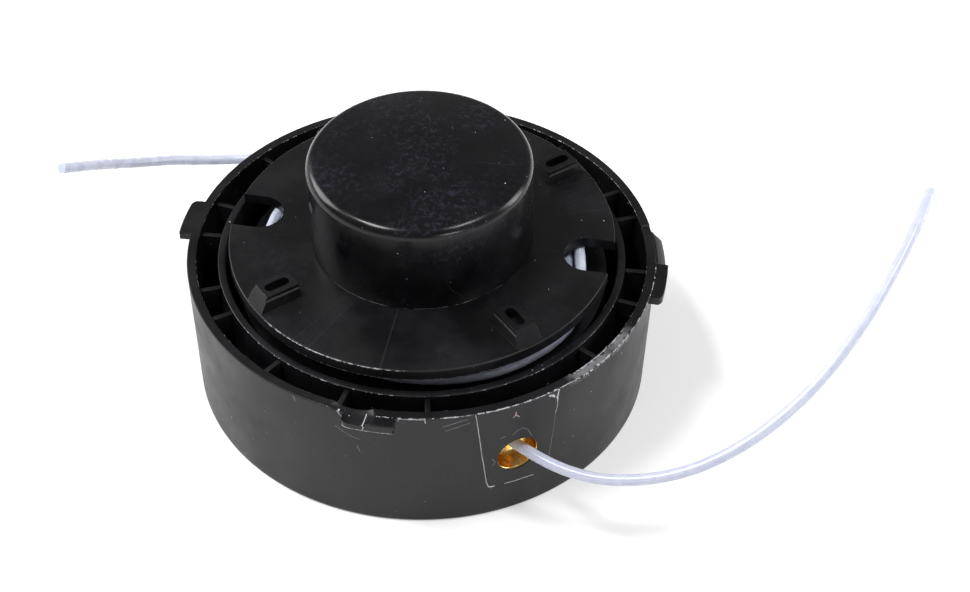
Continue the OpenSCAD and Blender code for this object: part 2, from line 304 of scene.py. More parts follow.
    @classmethod
    def hand_over(cls, piece: bpy.types.Object, body: str, slot: str, finish: "Finish",
                  nodes: Sequence[str] = ()) -> None:
        """Dresses a finished piece and puts it on its body.

        Args:
            piece: the piece, in place.
            body: the body that it rides on.
            slot: not used.
            finish: what it is made of.
            nodes: the solids that it stands for.
        """
        piece.data.materials.clear()
        piece.data.materials.append(finish.material())
        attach(piece, body)
        if nodes:
            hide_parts(*nodes)
        log.info("%s: %d faces, on %s", piece.name, len(piece.data.polygons), body)


class Graph:
    """A material's node tree while it is being drawn."""

    def __init__(self, name: str) -> None:
        """Starts a material with an empty tree."""
        self.result = bpy.data.materials.new(name)
        self.result.use_nodes = True
        self.tree = self.result.node_tree
        self.tree.nodes.clear()

    def add(self, kind: str, inputs: dict | None = None, **settings: object) -> bpy.types.Node:
        """Adds a node with its settings and links.

        Args:
            kind: the node's type without its ShaderNode prefix.
            inputs: input name or number to a value, a socket, or a node whose first output is used.
            settings: the node's own properties.

        Returns:
            The new node.
        """
        node = self.tree.nodes.new("ShaderNode" + kind)
        for key, value in settings.items():
            setattr(node, key, value)
        for key, value in (inputs or {}).items():
            if isinstance(value, bpy.types.Node):
                value = value.outputs[0]
            if isinstance(value, bpy.types.NodeSocket):
                self.tree.links.new(value, node.inputs[key])
            else:
                node.inputs[key].default_value = value
        return node


class Tone(Enum):
    """What a mark on black nylon looks like."""

    STRESS = "#b59ba3"
    CHALK = "#b9b8bd"
    GREY = "#66666b"
    GAP = "#050506"


@dataclass(frozen=True)
class Mark:
    """A line of wear, a parting line or a crack, drawn on a surface.

    The points are (degrees round the axis, height) on a wall, and (x, y) on a face.
    """

    tone: Tone
    width: float
    points: tuple[tuple[float, float], ...]
    broken: float = 0.5


@dataclass(frozen=True)
class EdgeWearAndHighlight:
    """A pale line along an edge that runs round the axis: on the drum, wear where handling has broken its
    skin; on the flange and the knob, a painted highlight on the rounded edge.
    """

    radius: float
    height: float
    width: float
    start: float
    end: float
    broken: float = 0.5
    strength: float = 0.8


@dataclass(frozen=True)
class Finish:
    """A surface finish. Each one draws its own material, once."""

    name: str

    def draw(self, graph: Graph) -> bpy.types.Node:
        """Draws the shader into a graph and returns its last node."""
        raise NotImplementedError

    def material(self) -> bpy.types.Material:
        """The finish's material, drawn at the first call."""
        known = bpy.data.materials.get(self.name)
        if known:
            return known
        graph = Graph(self.name)
        graph.add("OutputMaterial", {"Surface": self.draw(graph)})
        return graph.result


@dataclass(frozen=True)
class BlackNylon(Finish):
    """Glass-filled nylon, injection moulded: satin black, faintly cloudy, with hairline scratches.

    The eye reads it by its broad soft highlights, which the film of handling and the fine grain
    break up, and by pale lines where it was bruised, because nylon whitens under stress. The pale
    edge lines on the flange and the knob are painted highlights.
    """

    base: str = "#09090b"
    film: str = "#121214"
    scuff: str = "#45475a"
    scuffing: float = 0.12
    gloss: float = 0.34
    haze: float = 0.16
    shine: float = 0.27
    grain_mm: float = 0.3
    grain_depth: float = 0.004
    dust: float = 0.8
    scratches: float = 0.3
    wall_radius: float = 50.0
    lean: Matrix | None = None
    marks: tuple[Mark, ...] = ()
    edges: tuple[EdgeWearAndHighlight, ...] = ()

    def draw(self, graph: Graph) -> bpy.types.Node:
        """Draws the nylon: cloud, dust, hairlines, marks, and pale edge lines (wear on the drum, painted
        highlights on the flange and knob) over a satin shader.
        """
        place = self.place(graph)
        parts = graph.add("SeparateXYZ", {0: place})
        wall = self.unrolled(graph, parts)
        cloud = graph.add("TexNoise", {"Vector": place, "Scale": 0.09, "Detail": 5.0, "Roughness": 0.6})
        cloud_mask = graph.add("MapRange", {0: cloud, 1: 0.42, 2: 0.68})
        colour = self.tinted(graph, cloud_mask, paint(self.base), paint(self.film))
        colour = self.tinted(graph, self.scuffs(graph, place), colour, paint(self.scuff))
        grain = graph.add("TexNoise", {"Vector": place, "Scale": 1 / self.grain_mm, "Detail": 2.0})
        height = graph.add("Math", {0: grain, 1: self.grain_depth}, operation="MULTIPLY")
        for size, width, seed in ((7.0, 0.035, 3.1), (13.0, 0.05, 8.7)):
            line = self.hairlines(graph, wall, size, width, seed)
            line = graph.add("Math", {0: line, 1: self.scratches}, operation="MULTIPLY")
            colour = self.tinted(graph, line, colour, paint(Tone.GREY.value))
        for cell, largest in ((3.0, 0.055), (1.7, 0.05)):
            specks = self.specks(graph, place, cell, largest)
            colour = self.tinted(graph, specks, colour, paint("#c2c1bd"))
        for tone in Tone:
            chosen = [mark for mark in self.marks if mark.tone is tone]
            if chosen:
                mask = self.drawn(graph, wall, chosen)
                mask = graph.add("Math", {0: mask, 1: self.outside(graph, parts)}, operation="MULTIPLY")
                colour = self.tinted(graph, mask, colour, paint(tone.value))
                depth = 0.02 if tone is not Tone.GAP else -0.08
                relief = graph.add("Math", {0: mask, 1: depth}, operation="MULTIPLY")
                height = graph.add("Math", {0: height, 1: relief}, operation="ADD")
        rough = graph.add("MapRange", {0: cloud, 1: 0.35, 2: 0.7, 3: self.gloss, 4: self.gloss + self.haze})
        # Pale edge lines in the chalk colour: wear on the drum, painted highlights on the flange and the
        # knob.
        for edge in self.edges:
            mask = self.worn(graph, place, parts, edge)
            colour = self.tinted(graph, mask, colour, paint(Tone.CHALK.value))
        bump = graph.add("Bump", {"Height": height, "Distance": MM, "Strength": 1.0})
        return graph.add("BsdfPrincipled", {
            "Base Color": colour, "Roughness": rough, "Normal": bump, "IOR": 1.53,
            "Specular IOR Level": self.shine})

    def place(self, graph: Graph) -> bpy.types.NodeSocket:
        """The point on the surface in millimetres, with the spool's lean taken out."""
        coords = graph.add("TexCoord").outputs["Object"]
        scaled = graph.add("VectorMath", {0: coords, "Scale": 1 / MM}, operation="SCALE")
        if self.lean is None:
            return scaled.outputs[0]
        upright = self.lean.inverted()
        return graph.add("Mapping", {
            "Vector": scaled, "Location": upright.translation / MM,
            "Rotation": upright.to_euler()}, vector_type="POINT").outputs[0]

    def unrolled(self, graph: Graph, parts: bpy.types.Node) -> bpy.types.NodeSocket:
        """The surface laid flat: arc length round the axis, and height."""
        turn = graph.add("Math", {0: parts.outputs[1], 1: parts.outputs[0]}, operation="ARCTAN2")
        length = graph.add("Math", {0: turn, 1: self.wall_radius}, operation="MULTIPLY")
        return graph.add("CombineXYZ", {0: length, 1: parts.outputs[2]}).outputs[0]

    @staticmethod
    def tinted(graph: Graph, mask: object, under: object, over: object) -> bpy.types.NodeSocket:
        """One colour over another through a mask."""
        return graph.add("Mix", {0: mask, 6: under, 7: over}, data_type="RGBA").outputs[2]

    @staticmethod
    def hairlines(graph: Graph, wall: object, size: float, width: float, seed: float) -> bpy.types.Node:
        """A mask of short straight scratches, one to a cell, each turned its own way.

        Args:
            graph: the tree.
            wall: the flat surface point.
            size: the cell's size, about two scratch lengths.
            width: the scratches' width.
            seed: an offset that gives another set.

        Returns:
            The mask's node.
        """
        bend = graph.add("TexNoise", {"Vector": wall, "Scale": 0.12, "Detail": 0.0})
        bent = graph.add("VectorMath", {0: bend.outputs["Color"], "Scale": 6.0}, operation="SCALE")
        moved = graph.add("VectorMath", {0: wall, 1: bent}, operation="ADD")
        cells = graph.add("VectorMath", {0: moved, 1: (1 / size,) * 3, 2: (seed,) * 3},
                          operation="MULTIPLY_ADD")
        cell = graph.add("TexVoronoi", {"Vector": cells, "Scale": 1.0}, voronoi_dimensions="2D")
        offset = graph.add("VectorMath", {0: cells, 1: cell.outputs["Position"]}, operation="SUBTRACT")
        chance = graph.add("SeparateColor", {0: cell.outputs["Color"]})
        turn = graph.add("Math", {0: chance.outputs[0], 1: math.tau}, operation="MULTIPLY")
        turned = graph.add("VectorRotate", {"Vector": offset, "Angle": turn}, rotation_type="Z_AXIS")
        across = graph.add("SeparateXYZ", {0: turned})
        gap = graph.add("Math", {0: across.outputs[1]}, operation="ABSOLUTE")
        line = graph.add("MapRange", {0: gap, 1: 0.0, 2: width / size, 3: 1.0, 4: 0.0})
        reach = graph.add("Math", {0: across.outputs[0]}, operation="ABSOLUTE")
        ends = graph.add("MapRange", {0: reach, 1: 0.1, 2: 0.4, 3: 1.0, 4: 0.0})
        line = graph.add("Math", {0: line, 1: ends}, operation="MULTIPLY")
        drawn = graph.add("MapRange", {0: chance.outputs[1], 1: 0.45, 2: 1.0})
        return graph.add("Math", {0: line, 1: drawn}, operation="MULTIPLY")

    def outside(self, graph: Graph, parts: bpy.types.Node) -> bpy.types.Node:
        """A mask that keeps wall marks on the outer face, off the walls inside it."""
        radius = self.distance_out(graph, parts)
        return graph.add("Math", {0: radius, 1: self.wall_radius - 0.85}, operation="GREATER_THAN")

    @staticmethod
    def distance_out(graph: Graph, parts: bpy.types.Node) -> bpy.types.NodeSocket:
        """The distance from the axis."""
        flat = graph.add("CombineXYZ", {0: parts.outputs[0], 1: parts.outputs[1]})
        return graph.add("VectorMath", {0: flat}, operation="LENGTH").outputs["Value"]

    def worn(self, graph: Graph, place: object, parts: bpy.types.Node, edge: EdgeWearAndHighlight) -> bpy.types.Node:
        """A mask of one pale edge line, wear on the drum and a painted highlight on the flange and knob: near
        its circle, within its stretch, broken up by noise.

        Args:
            graph: the tree.
            place: the surface point.
            parts: the point's separated coordinates.
            edge: the edge.

        Returns:
            The mask's node.
        """
        out = graph.add("Math", {0: self.distance_out(graph, parts), 1: edge.radius}, operation="SUBTRACT")
        up = graph.add("Math", {0: parts.outputs[2], 1: edge.height}, operation="SUBTRACT")
        gap = graph.add("VectorMath", {0: graph.add("CombineXYZ", {0: out, 1: up})}, operation="LENGTH")
        rough = graph.add("TexNoise", {"Vector": place, "Scale": 1.1, "Detail": 5.0, "Roughness": 0.75})
        width = graph.add("MapRange", {0: rough, 1: edge.broken - 0.1, 2: edge.broken + 0.2,
                                       3: 0.0, 4: edge.width})
        near = graph.add("Math", {0: gap.outputs["Value"], 1: width}, operation="LESS_THAN")
        turn = graph.add("Math", {0: parts.outputs[1], 1: parts.outputs[0]}, operation="ARCTAN2")
        fade, start, end = math.radians(4), math.radians(edge.start), math.radians(edge.end)
        begins = graph.add("MapRange", {0: turn, 1: start, 2: start + fade})
        ends = graph.add("MapRange", {0: turn, 1: end - fade, 2: end, 3: 1.0, 4: 0.0})
        mask = graph.add("Math", {0: begins, 1: ends}, operation="MULTIPLY")
        mask = graph.add("Math", {0: mask, 1: near}, operation="MULTIPLY")
        return graph.add("Math", {0: mask, 1: edge.strength}, operation="MULTIPLY")

    def scuffs(self, graph: Graph, place: object) -> bpy.types.Node:
        """A mask of rubbed patches: fine fibrous noise, only where a coarse one lets it through."""
        fine = graph.add("TexNoise", {"Vector": place, "Scale": 0.9, "Detail": 6.0, "Roughness": 0.72,
                                      "Distortion": 0.6})
        coarse = graph.add("TexNoise", {"Vector": place, "Scale": 0.06, "Detail": 2.0})
        fine = graph.add("MapRange", {0: fine, 1: 0.5, 2: 0.72})
        coarse = graph.add("MapRange", {0: coarse, 1: 0.46, 2: 0.62})
        mask = graph.add("Math", {0: fine, 1: coarse}, operation="MULTIPLY")
        return graph.add("Math", {0: mask, 1: self.scuffing}, operation="MULTIPLY")

    def specks(self, graph: Graph, place: object, size: float, largest: float) -> bpy.types.Node:
        """A mask of dust: one speck up to 0.3 mm across in some of the cells.

        Args:
            graph: the tree.
            place: the surface point.
            size: the cell's size.
            largest: the largest speck's radius as a share of the cell.

        Returns:
            The mask's node.
        """
        cell = graph.add("TexVoronoi", {"Vector": place, "Scale": 1 / size})
        chance = graph.add("SeparateColor", {0: cell.outputs["Color"]})
        radius = graph.add("MapRange", {0: chance.outputs[0], 1: 0.4, 2: 1.0, 3: 0.0, 4: largest})
        speck = graph.add("Math", {0: cell.outputs["Distance"], 1: radius}, operation="LESS_THAN")
        return graph.add("Math", {0: speck, 1: self.dust}, operation="MULTIPLY")

    def drawn(self, graph: Graph, wall: object, marks: Sequence[Mark]) -> bpy.types.Node:
        """A mask of drawn marks: the nearest line's distance, roughened and broken up.

        Args:
            graph: the tree.
            wall: the flat surface point.
            marks: marks of one tone.

        Returns:
            The mask's node.
        """
        jitter = graph.add("TexNoise", {"Vector": wall, "Scale": 1.6, "Detail": 3.0})
        centred = graph.add("VectorMath", {0: jitter.outputs["Color"], 1: (0.5,) * 3}, operation="SUBTRACT")
        point = graph.add("VectorMath", {0: centred, 1: (0.35,) * 3, 2: wall}, operation="MULTIPLY_ADD")
        total = None
        per_degree = math.radians(1) * self.wall_radius
        for mark in marks:
            nearest = None
            spots = [Vector((a * per_degree, z, 0)) for a, z in mark.points]
            for start, end in zip(spots, spots[1:]):
                along = end - start
                away = graph.add("VectorMath", {0: point, 1: start}, operation="SUBTRACT")
                share = graph.add("VectorMath", {0: away, 1: along / along.length_squared},
                                  operation="DOT_PRODUCT")
                share = graph.add("Clamp", {0: share.outputs["Value"]})
                foot = graph.add("VectorMath", {0: along, "Scale": share}, operation="SCALE")
                gap = graph.add("VectorMath", {0: away, 1: foot}, operation="DISTANCE").outputs["Value"]
                nearest = gap if nearest is None else graph.add(
                    "Math", {0: nearest, 1: gap}, operation="MINIMUM")
            line = graph.add("MapRange", {0: nearest, 1: mark.width * 0.4, 2: mark.width, 3: 1.0, 4: 0.0})
            chips = graph.add("TexNoise", {"Vector": wall, "Scale": 2.4, "Detail": 4.0, "Roughness": 0.7})
            kept = graph.add("MapRange", {0: chips, 1: mark.broken - 0.14, 2: mark.broken + 0.02})
            line = graph.add("Math", {0: line, 1: kept}, operation="MULTIPLY")
            total = line if total is None else graph.add("Math", {0: total, 1: line}, operation="MAXIMUM")
        return total


@dataclass(frozen=True)
class NylonLine(Finish):
    """Extruded monofilament nylon: milky, slightly blue in its core, with a smooth skin."""

    core: str = "#b9bed3"
    skin: str = "#cccfdc"

    def draw(self, graph: Graph) -> bpy.types.Node:
        """Draws the line: light travels about a millimetre in it before it comes out again."""
        place = graph.add("VectorMath", {0: graph.add("TexCoord").outputs["Object"], "Scale": 1 / MM},
                          operation="SCALE")
        streak = graph.add("TexNoise", {"Vector": place, "Scale": 0.35, "Detail": 3.0})
        colour = graph.add("Mix", {0: streak, 6: paint(self.core), 7: paint(self.skin)}, data_type="RGBA")
        rough = graph.add("MapRange", {0: streak, 1: 0.3, 2: 0.7, 3: 0.22, 4: 0.32})
        return graph.add("BsdfPrincipled", {
            "Base Color": colour.outputs[2], "Roughness": rough, "IOR": 1.53,
            "Subsurface Weight": 0.85, "Subsurface Radius": (1.0, 0.95, 0.9), "Subsurface Scale": 0.001})


@dataclass(frozen=True)
class TurnedMetal(Finish):
    """Turned metal: fine rings round its axis, and a film of dirt in what isn't rubbed bright."""

    colour: str = "#e9c173"
    dark: str = "#a9752c"
    rough: float = 0.17
    ring_mm: float = 0.3
    ring_depth: float = 0.002
    soil: float = 0.12

    def draw(self, graph: Graph) -> bpy.types.Node:
        """Draws the metal from the piece's own lathe attribute and a soft film of soil."""
        lathe = graph.add("Attribute", attribute_name="lathe")
        parts = graph.add("SeparateXYZ", {0: lathe.outputs["Vector"]})
        across = graph.add("Math", {0: parts.outputs[0], 1: parts.outputs[1]}, operation="ADD")
        phase = graph.add("Math", {0: across, 1: math.tau / self.ring_mm}, operation="MULTIPLY")
        ring = graph.add("Math", {0: phase}, operation="SINE")
        place = graph.add("VectorMath", {0: graph.add("TexCoord").outputs["Object"], "Scale": 1 / MM},
                          operation="SCALE")
        cloud = graph.add("TexNoise", {"Vector": place, "Scale": 0.3, "Detail": 3.0, "Roughness": 0.5})
        film = graph.add("MapRange", {0: cloud, 1: 0.4, 2: 0.75, 3: 0.0, 4: self.soil})
        colour = graph.add("Mix", {0: film, 6: paint(self.colour), 7: paint(self.dark)}, data_type="RGBA")
        rough = graph.add("MapRange", {0: cloud, 1: 0.3, 2: 0.7, 3: self.rough, 4: self.rough + 0.18})
        height = graph.add("Math", {0: ring, 1: self.ring_depth}, operation="MULTIPLY")
        bump = graph.add("Bump", {"Height": height, "Distance": MM, "Strength": 1.0})
        return graph.add("BsdfPrincipled", {
            "Base Color": colour.outputs[2], "Metallic": 1.0, "Roughness": rough, "Normal": bump})


@dataclass(frozen=True)
class StudioPaper(Finish):
    """Matt white background paper, which the camera sees as plain white away from the shadow."""

    colour: str = "#e8e8e8"
    lift: float = 0.22

    def draw(self, graph: Graph) -> bpy.types.Node:
        """Draws matt paper with a lift towards white that only the camera's own rays see."""
        paper = graph.add("BsdfDiffuse", {"Color": paint(self.colour)})
        seen = graph.add("LightPath")
        rays = graph.add("Math", {0: seen.outputs["Is Camera Ray"], 1: seen.outputs["Is Glossy Ray"]},
                         operation="MAXIMUM")
        rays = graph.add("Math", {0: rays, 1: seen.outputs["Is Transmission Ray"]}, operation="MAXIMUM")
        strength = graph.add("Math", {0: rays, 1: self.lift}, operation="MULTIPLY")
        lift = graph.add("Emission", {"Color": paint("#ffffff"), "Strength": strength})
        return graph.add("AddShader", {0: paper, 1: lift})


@dataclass
class Camera:
    """The camera, fitted to the rim, flange and knob of the photographed head."""

    place: tuple[float, float, float] = (13.66, -318.4, 317.3)
    down: float = 43.24
    roll: float = 1.184
    lens: float = 74.23
    sensor: float = 36.0

    def build(self) -> bpy.types.Object:
        """Puts the camera in place and makes it the scene's."""
        data = bpy.data.cameras.new("studio_camera")
        data.lens = self.lens
        data.sensor_width = self.sensor
        data.clip_start = 0.01
        camera = bpy.data.objects.new("studio_camera", data)
        bpy.context.scene.collection.objects.link(camera)
        tilt = Matrix.Rotation(math.radians(90 - self.down), 4, "X")
        camera.matrix_world = (Matrix.Translation(Vector(self.place) * MM) @ tilt
                               @ Matrix.Rotation(math.radians(self.roll), 4, "Z"))
        bpy.context.scene.camera = camera
        return camera


@dataclass
class Lamp:
    """One softbox: where it stands, what it points at, its size and its power."""

    name: str
    place: tuple[float, float, float]
    target: tuple[float, float, float]
    size: tuple[float, float]
    power: float

    def build(self) -> None:
        """Hangs the softbox."""
        data = bpy.data.lights.new(self.name, "AREA")
        data.shape = "RECTANGLE"
        data.size, data.size_y = self.size
        data.energy = self.power
        lamp = bpy.data.objects.new(self.name, data)
        bpy.context.scene.collection.objects.link(lamp)
        aim = Vector(self.target) - Vector(self.place)
        lamp.matrix_world = Matrix.Translation(self.place) @ aim.to_track_quat("-Z", "Y").to_matrix().to_4x4()


@dataclass
class Studio:
    """A pale floor under soft light, all in metres."""

    lamps: tuple[Lamp, ...] = (
        Lamp("left_softbox", (-1.15, 0.5, 0.8), (0, 0, 0.02), (0.75, 0.8), 17.0),
        Lamp("right_softbox", (1.25, 0.2, 0.4), (0, 0, 0.02), (0.4, 0.8), 9.0),
        Lamp("overhead_left", (-0.42, -0.1, 0.95), (0, 0, 0.03), (0.34, 0.16), 6.0),
        Lamp("overhead_right", (0.4, -0.2, 0.95), (0, 0, 0.03), (0.22, 0.12), 3.5),
        Lamp("low_front", (0.55, -1.0, 0.28), (0.02, -0.05, 0.02), (0.3, 0.2), 2.0),
    )
    sky: float = 0.26

    def build(self) -> None:
        """Lays the floor, hangs the lamps and sets the surrounding light."""
        bpy.context.scene.view_settings.view_transform = "Standard"
        bpy.ops.object.select_all(action="DESELECT")
        bpy.ops.mesh.primitive_plane_add(size=8)
        floor = bpy.context.object
        floor.name = "studio_floor"
        floor.data.materials.append(StudioPaper("white_background_paper").material())
        for lamp in self.lamps:
            lamp.build()
        world = bpy.data.worlds.new("studio_room")
        world.use_nodes = True
        bpy.context.scene.world = world
        tree = world.node_tree
        seen = tree.nodes.new("ShaderNodeLightPath")
        level = tree.nodes.new("ShaderNodeMix")
        level.inputs[2].default_value = self.sky
        level.inputs[3].default_value = 1.0
        tree.links.new(seen.outputs["Is Camera Ray"], level.inputs[0])
        tree.links.new(level.outputs[0], tree.nodes["Background"].inputs["Strength"])
        tree.nodes["Background"].inputs["Color"].default_value = paint("#ffffff")


@dataclass
class Lean:
    """How the released spool leans on its spring."""

    angle: float = 1.3
    towards: float = 25.0
    height: float = 36.0

    def matrix(self) -> Matrix:
        """The lean as a matrix in metres, turning about the middle of the flange's top."""
        up = Matrix.Translation((0, 0, self.height * MM))
        turn = Matrix.Rotation(math.radians(self.towards), 4, "Z")
        tip = Matrix.Rotation(math.radians(-self.angle), 4, "Y")
        return up @ turn @ tip @ turn.inverted() @ up.inverted()


@dataclass
class Tails:
    """The two tails of line, from inside the eyelets to their cut ends."""

    diameter: float = 2.4
    front: Route = (
        (17.8, -38.1, 16.5), (18.8, -40.1, 16.5), (20.3, -41.9, 16.5), (22.3, -43.6, 16.5),
        (25, -45.6, 16.4), (28.3, -47.8, 16.4), (32.2, -49.9, 16.6), (37, -51.8, 17.2),
        (42.5, -53.1, 18.3), (48.5, -53.8, 20), (54.5, -53.7, 22.2), (60, -52.8, 24.7),
        (65.5, -51.1, 27.6), (70.5, -48.8, 30.5), (75.5, -45.8, 33.8), (80.5, -41.8, 37.3),
        (85.5, -36.8, 41.2), (90, -31.2, 44.9), (94, -25.3, 48.4), (98, -18.6, 51.9),
        (101, -12.9, 54.6), (103.6, -7.4, 56.8))
    rear: Route = (
        (-17.8, 38.1, 16.5), (-18.8, 40.1, 16.5), (-20.3, 41.9, 16.5), (-22.3, 43.7, 16.3),
        (-25, 45.7, 15.9), (-28.5, 47.7, 15.2), (-33, 49.8, 14.2), (-38.5, 51.5, 13),
        (-44, 52.2, 12.2), (-49.5, 51.9, 12.1), (-55, 50.1, 13.3), (-60, 46.8, 15.9),
        (-64.5, 42.7, 18.7), (-68.5, 38.3, 21.8), (-72, 33.8, 25.1), (-75.3, 29, 28.6),
        (-78.3, 24.7, 31.5), (-80.6, 21.6, 33.6))

    def build(self, finish: Finish) -> None:
        for name, route in (("front_tail", self.front), ("rear_tail", self.rear)):
            tail = Bench.strand(name + "_line", route, self.diameter / 2, sides=20, smooth=5)
            Bench.smooth(tail)
            Bench.hand_over(tail, "drum", "nylon_line", finish, [name])


@dataclass
class Drum:
    """The drum: a fine-grained wall with its lugs, snap ramp and damage, ribs, ring, floor and hub."""

    rim: float = 50.0
    base: float = 49.25
    height: float = 31.5
    wall: float = 2.0
    floor: float = 2.5
    steps: int = 1440
    lug_places: tuple[float, ...] = (80, 170, 260, 350)
    lug_reach: float = 2.6
    lug_thick: float = 2.0
    lug_arc: float = 12.0
    lug_corner: float = 1.6
    ramp_ends: tuple[float, float] = (-4.0, 8.7)
    ring: tuple[float, float] = (41.9, 43.5)
    ring_top: float = 31.0
    rib_thick: float = 1.1
    rib_top: float = 30.3
    rib_places: tuple[float, ...] = (16, 27, 50.5, 72, 93.5, 140, 162, 174.5)
    eyelet_turn: float = 295.0
    eyelet_height: float = 16.5
    eyelet_radius: float = 4.9
    eyelet_mouth: float = 4.45
    low_patches: tuple[tuple[float, float], ...] = ((-3.4, 10.6),)
    scars: tuple[tuple[float, float], ...] = ((310.4, 322.8), (323.9, 330.9))

    def face(self, z: float) -> float:
        """The outer face's radius at a height."""
        return self.base + (self.rim - self.base) * z / self.height

    def build(self, finish: Finish) -> None:
        """Makes the drum's shells, cuts the eyelet holes and joins all into one moulding."""
        wall = self.wall_shell()
        inner = Bench.turned("inner_ring", [
            (self.ring[0], self.floor - 0.1), (self.ring[1] + 0.2, self.floor - 0.1),
            (self.ring[1], self.ring_top - 0.2),
            *arc((self.ring[1] - 0.2, self.ring_top - 0.2), 0.2, 0, 90, 3),
            *arc((self.ring[0] + 0.2, self.ring_top - 0.2), 0.2, 90, 180, 3)], 360)
        floor = self.floor_and_hub()
        blocks = [self.eyelet_block(turn) for turn in (self.eyelet_turn, self.eyelet_turn - 180)]
        for turn in (self.eyelet_turn, self.eyelet_turn - 180):
            for piece in (wall, inner, *blocks):
                drill = Bench.rod("drill", self.eyelet_mouth, 38, 54, 96)
                Bench.place(drill, self.radial(turn))
                Bench.combine(piece, drill, "DIFFERENCE")
        ribs = [self.rib(turn + half) for half in (0, 180) for turn in self.rib_places]
        stops = [self.stop(79.5 + 90 * k) for k in range(4)]
        drum = Bench.joined("drum_moulding", [wall, inner, floor, *blocks, *ribs, *stops])
        Bench.smooth(drum, 34)
        Bench.hand_over(drum, "drum", "drum_plastic", finish, ["drum"])

    def radial(self, turn: float) -> Matrix:
        """Lays an upright bar along a radius, at the eyelets' height."""
        return (Matrix.Rotation(math.radians(turn), 4, "Z")
                @ Matrix.Translation((0, 0, self.eyelet_height * MM)) @ Matrix.Rotation(math.pi / 2, 4, "Y"))

    def wall_shell(self) -> bpy.types.Object:
        """Spins the outer wall finely and moves its rows into lugs, ramp, scars and chips."""
        lug_low = self.height - self.lug_thick
        rows = [0.8, 2, 5, 9, 13, 17, 21, 25, 27.5, 28.2, 28.3, 28.7, 29.05, 29.3, lug_low - 0.02,
                lug_low + 0.04, 30, 30.5, 30.9, 31.15]
        outer = [(self.face(z), z) for z in rows]
        top = [(self.rim - x, self.height) for x in (0.2, 0.35, 0.5, 0.65, 0.8, 0.95, 1.1, 1.3, 1.5, 1.7)]
        inner_r = self.rim - self.wall
        profile = [
            (47, 0), *arc((self.face(0) - 0.6, 0.6), 0.6, 270, 350, 4), *outer,
            *arc((self.rim - 0.2, self.height - 0.2), 0.2, 10, 80, 3), *top,
            *arc((inner_r + 0.15, self.height - 0.15), 0.15, 100, 180, 3),
            (inner_r - 0.02, 30.2), (46.85, self.floor), (47, self.floor - 1)]
        wall = Bench.turned("wall", profile, self.steps)
        for vertex in wall.data.vertices:
            vertex.co = self.shaped(vertex.co / MM) * MM
        wall.data.update()
        return wall

    def shaped(self, spot: Vector) -> Vector:
        """Moves one point of the plain wall to where the real rim has it.

        Args:
            spot: a point of the turned wall, in millimetres.

        Returns:
            The point with lugs, snap ramp, worn stretches, scars and the chip.
        """
        radius = math.hypot(spot.x, spot.y)
        turn = math.degrees(math.atan2(spot.y, spot.x)) % 360
        if spot.z < 27 or radius < 47.9:
            return spot
        height = spot.z
        outward = self.lug_at(turn) * self.lug_share(radius, height)
        ramp = self.ramp_at(turn) * between(
            height, ((28.2, 0), (28.3, 1.5), (29.05, 2.25), (30.0, 1.5), (31.15, 0.2), (31.3, 0)))
        outward = max(outward, ramp if radius > 49.7 else 0)
        moved = radius + outward
        if height > 31:
            height += self.rim_wear(turn, moved, height)
        if height > 30.7 and radius > 49.6 and 248 < turn < 335:
            rough = noise.noise(Vector((turn * 2.3, height * 2.0, 7)))
            moved += 0.05 * rough
            height += 0.04 * noise.noise(Vector((turn * 3.1, radius, 2)))
        angle = math.radians(self.squared(turn))
        return Vector((moved * math.cos(angle), moved * math.sin(angle), height))

    def lug_at(self, turn: float) -> float:
        """How far a lug stands out at an angle, with its leading corner rounded."""
        for place in self.lug_places:
            start = place - self.lug_arc / 2
            if start <= turn <= start + self.lug_arc:
                along = (turn - start) * math.radians(1) * self.rim
                if along >= self.lug_corner:
                    return self.lug_reach
                sunk = self.lug_corner - along
                return self.lug_reach - self.lug_corner + math.sqrt(self.lug_corner ** 2 - sunk ** 2)
        return 0.0

    def lug_share(self, radius: float, height: float) -> float:
        """How much of the lug's reach a row takes: all on its edge, none at the rim's inner side."""
        if height < self.height - self.lug_thick:
            return 0.0
        return min(1.0, max(0.0, (radius - 48.6) / (49.7 - 48.6)))

    def squared(self, turn: float) -> float:
        """Draws the column next to a lug's end up to it, so that the end stands square."""
        step = 360 / self.steps
        for place in self.lug_places:
            for end, side in ((place - self.lug_arc / 2, -1), (place + self.lug_arc / 2, 1)):
                if abs(turn - (end + side * step)) < step / 4:
                    return end + side * step * 0.12
        return turn

    def ramp_at(self, turn: float) -> float:
        """The snap ramp's share at an angle, tapering at its far end."""
        signed = turn if turn < 180 else turn - 360
        low, high = self.ramp_ends
        return between(signed, ((low, 0), (low + 0.1, 1), (high - 1.2, 1), (high, 0.55), (high + 0.1, 0)))

    def rim_wear(self, turn: float, radius: float, height: float) -> float:
        """How much the rim's top is worn, scarred or chipped down at a point."""
        signed = turn if turn < 180 else turn - 360
        drop = 0.0
        if any(low < signed < high for low, high in self.low_patches):
            drop = -0.38 - 0.05 * noise.noise(Vector((turn, radius, 1)))
        for low, high in self.scars:
            if low < turn < high:
                drop = -0.34 - 0.22 * noise.noise(Vector((turn * 1.4, radius * 1.9, 3)))
        along = (turn - 255.8) * math.radians(1) * 50.4
        away = math.hypot(along, (radius - 50.2) * 0.9)
        away *= 1 + 0.1 * noise.noise(Vector((turn * 0.5, radius * 0.7, 5)))
        bowl = 8.8 - math.sqrt(max(0.0, 100 - away * away))
        return min(drop, bowl)

